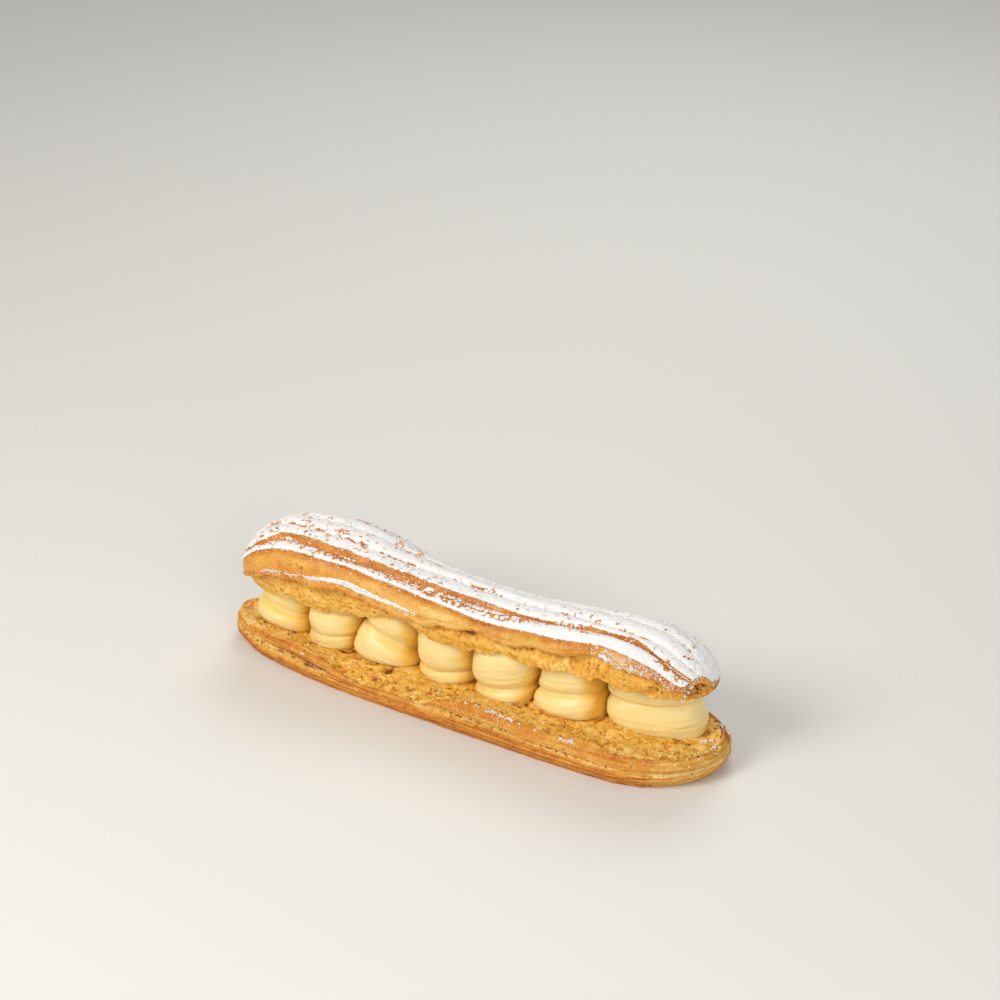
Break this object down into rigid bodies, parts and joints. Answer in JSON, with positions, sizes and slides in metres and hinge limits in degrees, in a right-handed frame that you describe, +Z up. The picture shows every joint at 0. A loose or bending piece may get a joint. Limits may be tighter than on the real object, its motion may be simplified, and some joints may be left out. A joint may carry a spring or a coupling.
{
  "type": "filled choux eclair",
  "caption": "Long choux bun split along its length, with a ridged crust base, piped custard cream rosettes and a ridged lid dusted with icing sugar.",
  "frame": {"origin": "on the surface that the eclair rests on, under the middle of its box", "axes": "+X along the eclair, +Y from the opened front towards the back, +Z up"},
  "size_m": [0.165, 0.0436, 0.0432],
  "materials": {
    "baked_choux": "golden baked choux crust with fine piped ridges, torn porous crumb on top",
    "sugared_choux": "golden brown ridged choux crust under sieved icing sugar, torn crumb below",
    "custard_cream": "smooth satin pale yellow piped custard cream"
  },
  "bodies": {
    "root": {"base": "baked_choux", "lid": "sugared_choux", "cream_1": "custard_cream", "cream_2": "custard_cream", "cream_3": "custard_cream", "cream_4": "custard_cream", "cream_5": "custard_cream", "cream_6": "custard_cream", "cream_7": "custard_cream"}
  },
  "joints": []
}
